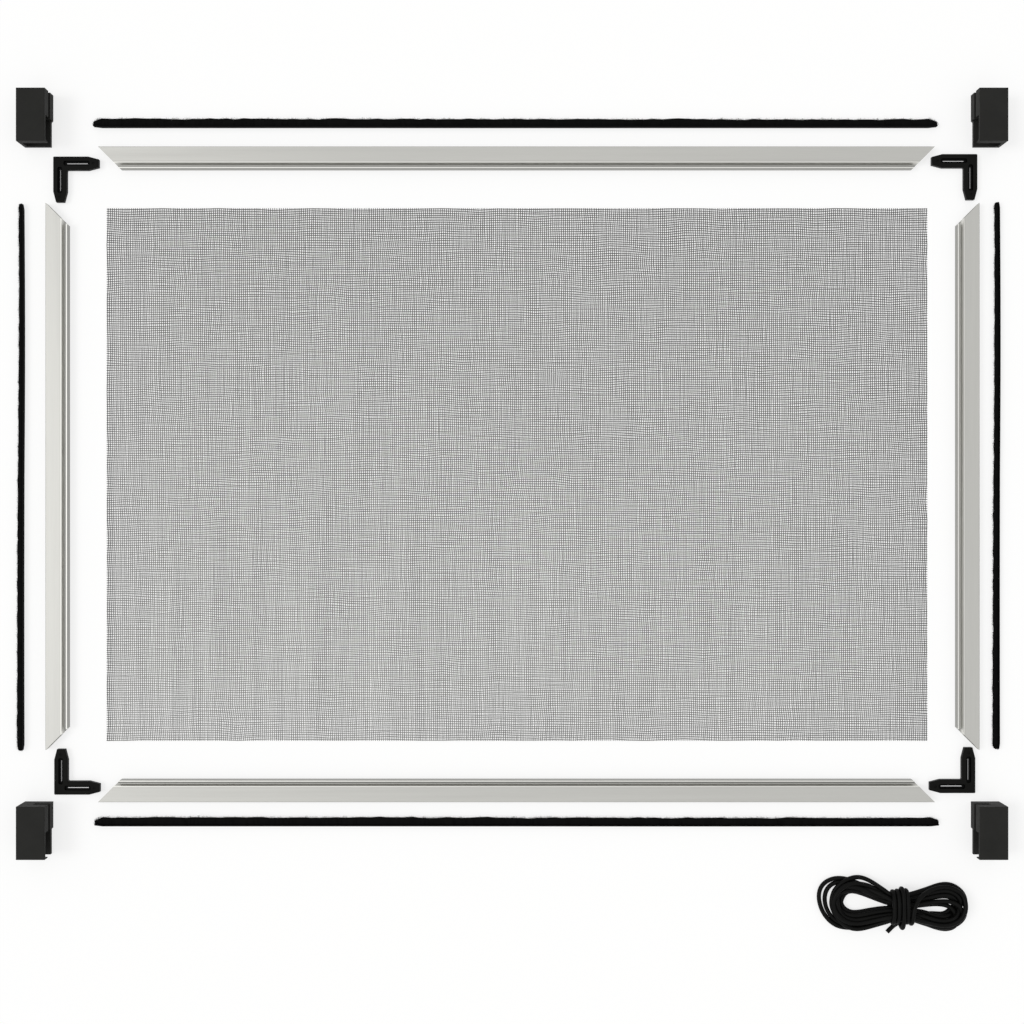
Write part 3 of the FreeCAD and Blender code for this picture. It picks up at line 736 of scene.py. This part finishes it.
def make_bar(size, cut):
    bpy.ops.object.select_all(action="DESELECT")
    bpy.ops.mesh.primitive_cube_add(size=1)
    bar = bpy.context.object
    bar.scale = [value * MM for value in size]
    bpy.ops.object.transform_apply(location=False, rotation=False, scale=True)
    cut_lengthwise(bar, 0, int(size[0] / cut) - 1)
    return bar


def make_ribbon(side, weave):
    """The woven ribbon on its edge, whose ribs run across it."""
    length, _, place = seal_sizes(side)
    ribbon = make_bar((length, RIBBON_THICK, RIBBON_WIDTH), 1.0)
    apply_modifier(ribbon, "BEVEL", width=RIBBON_CORNER * MM, segments=2, limit_method="ANGLE",
                   angle_limit=math.radians(60))
    points = points_of(ribbon) / MM
    x = points[:, 0]
    rib = np.cos(2 * math.pi * x / RIB)
    points[:, 1] = points[:, 1] * (1 + RIB_THICK * rib) + RIBBON_THICK / 2
    points[:, 1] += bow(side, x, length) + end_rise(x, length)
    points[:, 2] = points[:, 2] * (1 + RIB_WIDE * rib) + RIBBON_WIDTH / 2 + RIBBON_LIFT
    move_points(ribbon, points * MM)
    bpy.ops.object.shade_smooth_by_angle(angle=math.radians(40))
    lay_down(ribbon, side, place)
    finish_piece(ribbon, f"seal_ribbon_{side}", f"brush_backing_{side}", weave)


def lumps(x, seed):
    """How the head of the pile rises and falls along the seal, in tufts of uneven length."""
    return (0.35 * np.sin(x / 2.6 + seed) + 0.3 * np.sin(x / 1.37 + 1 + seed) + 0.3 * np.sin(x / 5.3 + 2)
            + 0.35 * np.sin(x / 17 + seed) * np.sin(x / 41 + 2 * seed))


def rounding(x, length, reach):
    """How much of its height the pile keeps near its ends, where it is worn round."""
    past = np.clip((np.abs(x) - (length / 2 - reach)) / reach, 0, 1)
    return np.sqrt(1 - 0.88 * past**2)


def make_pile_core(side, length, height, seed):
    """The closed heart of the pile, where its fibres stand too close to be told apart."""
    core = make_bar((length, height, CORE_WIDE), CORE_STEP)
    apply_modifier(core, "BEVEL", width=CORE_CORNER * MM, segments=2, limit_method="ANGLE",
                   angle_limit=math.radians(60))
    points = points_of(core) / MM
    x, up, wide = points[:, 0], points[:, 1] / height + 0.5, points[:, 2]
    wave = lumps(x, seed)
    station = np.round((x + length / 2) / CORE_STEP).astype(int)
    rng = np.random.default_rng(seed + CORE_SEED)
    tufts = rng.normal(0, FRAY[side], station.max() + 1)[station]
    reach = pile_height(side, x, length, height) - CORE_BELOW + 0.4 * wave + tufts
    reach *= rounding(x, length, height * WORN)
    y = RIBBON_THICK - CORE_DEEP + up * reach + bow(side, x, length) + end_rise(x, length)
    z = RIBBON_WIDTH / 2 + wide * (0.8 + 0.35 * up) * (1 + 0.08 * wave)
    move_points(core, np.stack([x, y, z], 1) * MM)
    return core


def make_fibres(side, length, height, seed):
    """Thousands of separate fibres, one cone repeated, each with its own foot, height and lean."""
    rng = np.random.default_rng(seed)
    columns = int(length / PILE_PITCH)
    bpy.ops.object.select_all(action="DESELECT")
    bpy.ops.mesh.primitive_cone_add(vertices=3, radius1=1, radius2=0, depth=1)
    fibres = bpy.context.object
    one = points_of(fibres)
    repeat(fibres, PILE_ROWS, (0, 0, 1))
    repeat(fibres, columns, (1, 0, 0))
    count = PILE_ROWS * columns
    column, row = np.arange(count) // PILE_ROWS, np.arange(count) % PILE_ROWS
    x = (column + 0.5) * PILE_PITCH - length / 2 + rng.uniform(-STRAY_ALONG, STRAY_ALONG, count)
    spread = (row + 0.5) / PILE_ROWS * 2 - 1 + rng.uniform(-STRAY_ACROSS, STRAY_ACROSS, count)
    kept = rounding(x, length, height * WORN)
    tall = pile_height(side, x, length, height) + FIBRE_LONGER + FIBRE_LUMPS * lumps(x, seed)
    tall = tall + rng.normal(0, FIBRE_UNEVEN, count)
    tall = (tall + rng.normal(0, FRAY[side], columns)[column // TUFT]) * kept
    lean = rng.normal(0, LEAN, count) + LEAN_WAVE * np.sin(x / LEAN_WAVE_LENGTH)
    lean = lean + np.sign(x) * (1 - kept) * LEAN_END
    foot_y = RIBBON_THICK + FOOT_ABOVE + bow(side, x, length)
    foot = np.stack([x, foot_y, RIBBON_WIDTH / 2 + spread * FOOT_SPREAD], 1)
    aside = spread * TIP_SPREAD + rng.normal(0, TIP_STRAY, count)
    tip = foot + np.stack([lean, tall - OUTER_LOWER * spread**2, aside], 1)
    tip[:, 2] = np.maximum(tip[:, 2], LOWEST_TIP)
    points = np.zeros((count, len(one), 3))
    for number, (ring_x, ring_y, end) in enumerate(one):
        points[:, number] = tip if end > 0 else foot + np.array([ring_x, 0, -ring_y]) * FIBRE_RADIUS
    move_points(fibres, points.reshape(-1, 3) * MM)
    return fibres


def make_pile(side, hair, seed):
    length, height, place = seal_sizes(side)
    core = make_pile_core(side, length, height, seed)
    pile = join(core, make_fibres(side, length, height, seed))
    bpy.ops.object.mode_set(mode="EDIT")
    bpy.ops.mesh.select_all(action="SELECT")
    bpy.ops.mesh.normals_make_consistent(inside=False)
    bpy.ops.object.mode_set(mode="OBJECT")
    bpy.ops.object.shade_smooth()
    lay_down(pile, side, place)
    finish_piece(pile, f"seal_pile_{side}", f"brush_pile_{side}", hair)


# Everything in its place

GRAIN = make_grain_group()

set_camera()
set_light()
set_floor()

RUBBER = make_material("cord_rubber", (0.0035, 0.0035, 0.0033), 0.5, gloss=0.07, fine=1400, broad=90,
                       contrast=0.35, bump=0.15)
make_cord(RUBBER)

GLASS = make_material("coated_glass_thread", (0.120, 0.120, 0.115), 0.55, fine=700, broad=25,
                      bump=0.2)
streak_and_shade_mesh(GLASS)
make_mesh(GLASS)

WEAVE = make_material("seal_ribbon_weave", (0.003, 0.003, 0.003), 0.75, gloss=0.05, fine=1500,
                      contrast=0.4, bump=0.3)
HAIR = make_material("seal_pile_fibre", (0.0026, 0.0026, 0.0026), 0.7, gloss=0.04, broad=120,
                     contrast=0.5)
for number, side in enumerate(SIDES):
    make_ribbon(side, WEAVE)
    make_pile(side, HAIR, SEAL_SEED + number)

CONNECTOR = make_material("connector_plastic", (0.0055, 0.0055, 0.005), 0.4, gloss=0.05, fine=1800,
                          broad=70, contrast=0.25, bump=0.12)
shade_recess(CONNECTOR, floor=4.1 * MM, face=5.3 * MM, dark=0.1)
BRACKET = make_material("bracket_plastic", (0.0195, 0.0195, 0.0183), 0.55, gloss=0.05, fine=2400,
                        broad=60, contrast=0.18, bump=0.2)
FINISHES = {f"profile_{side}": make_aluminium(side) for side in SIDES}
for name in NODES:
    if name.startswith("corner_connector"):
        FINISHES[name] = CONNECTOR
    if name.startswith("hanging_bracket"):
        FINISHES[name] = BRACKET
for name, paint in FINISHES.items():
    paint_node(name, paint)
